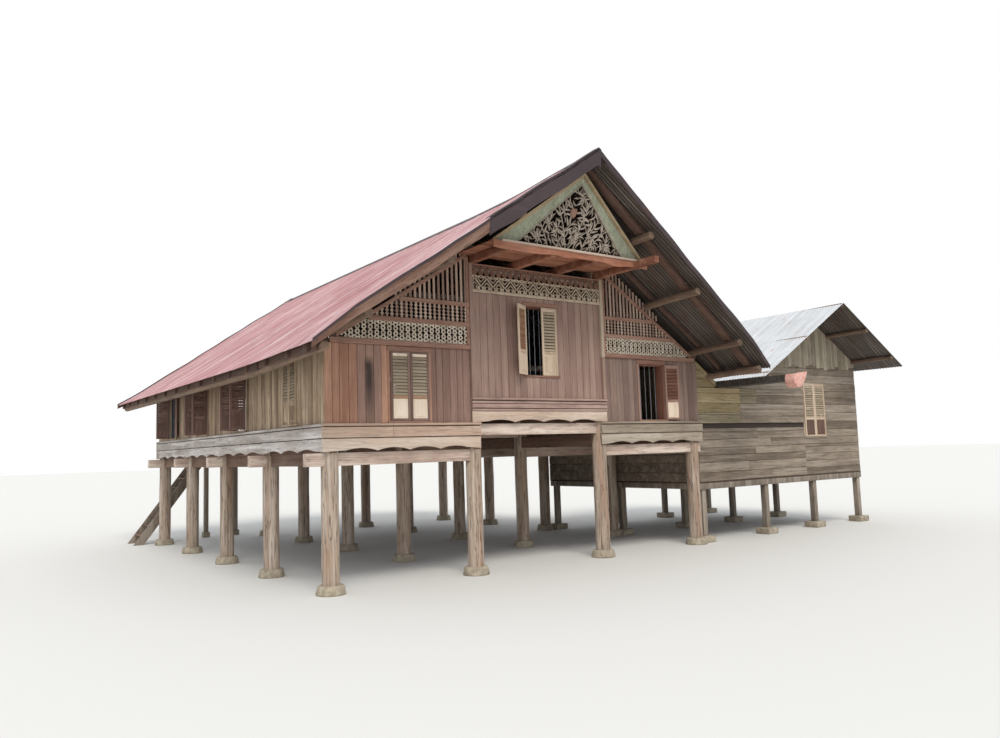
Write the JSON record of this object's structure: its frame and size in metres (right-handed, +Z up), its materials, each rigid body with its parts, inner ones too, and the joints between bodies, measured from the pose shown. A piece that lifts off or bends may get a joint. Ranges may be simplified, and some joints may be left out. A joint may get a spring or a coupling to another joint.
{
  "type": "timber stilt house",
  "caption": "Timber stilt house with a raised middle bay, outward-leaning openwork gable, corrugated gable roof and a boarded kitchen annex with its own roof and valley gutter.",
  "frame": {"origin": "middle of the whole plan, on the level ground under the pads", "axes": "+Z up; -Y is the front, where the gable with the openwork panel faces; +X towards the kitchen annex"},
  "size_m": [15.82, 14.1106, 6.9949],
  "materials": {
    "posts": "weathered round timber",
    "beams": "weathered sawn timber",
    "floor_boards": "worn sawn boards",
    "skirt_timber": "bleached moulded timber",
    "front_boards": "weathered purple-brown boards",
    "side_boards": "bleached grey-tan boards",
    "lattice_timber": "pale carved timber",
    "gable_paint": "faded green painted timber",
    "soffit_timber": "orange-brown sawn timber",
    "rafter_timber": "dark weathered timber",
    "shutter_timber": "varnished and sun-bleached louvred timber",
    "red_roofing": "faded red corrugated steel",
    "galvanised_roofing": "galvanised corrugated steel with rust",
    "gutter_metal": "dark painted sheet metal, salmon at the spout",
    "annex_boards": "grey-green weathered boards",
    "pad_stone": "rough stone"
  },
  "bodies": {
    "root": {"stone_pads": "pad_stone", "outer_posts": "posts", "inner_posts": "posts", "tie_beams": "beams", "long_beams": "beams", "floor_joists": "beams", "floors": "floor_boards", "aisle_skirts": "skirt_timber", "nave_skirts": "skirt_timber", "side_skirts": "skirt_timber", "front_left_wall": "front_boards", "front_nave_wall": "front_boards", "front_right_wall": "front_boards", "back_aisle_walls": "front_boards", "back_nave_wall": "front_boards", "left_side_wall": "side_boards", "right_side_wall": "side_boards", "front_lattices": "lattice_timber", "back_lattices": "lattice_timber", "carved_bands": "lattice_timber", "gable_bearers": "soffit_timber", "gable_soffits": "soffit_timber", "gable_panels": "gable_paint", "left_bargeboards": "rafter_timber", "right_bargeboards": "rafter_timber", "purlins": "rafter_timber", "rafters": "rafter_timber", "roof_struts": "rafter_timber", "left_roof": "red_roofing", "right_roof": "red_roofing", "ridge_cap": "red_roofing", "front_shutters": "shutter_timber", "side_shutters": "shutter_timber", "back_shutters": "shutter_timber", "slim_posts": "posts", "annex_beams": "beams", "annex_end_walls": "annex_boards", "annex_side_walls": "annex_boards", "annex_left_roof": "galvanised_roofing", "annex_right_roof": "galvanised_roofing", "annex_shutters": "shutter_timber", "valley_gutter": "gutter_metal", "stair_landing": "floor_boards", "stair_strings": "beams", "stair_treads": "beams"}
  },
  "joints": []
}
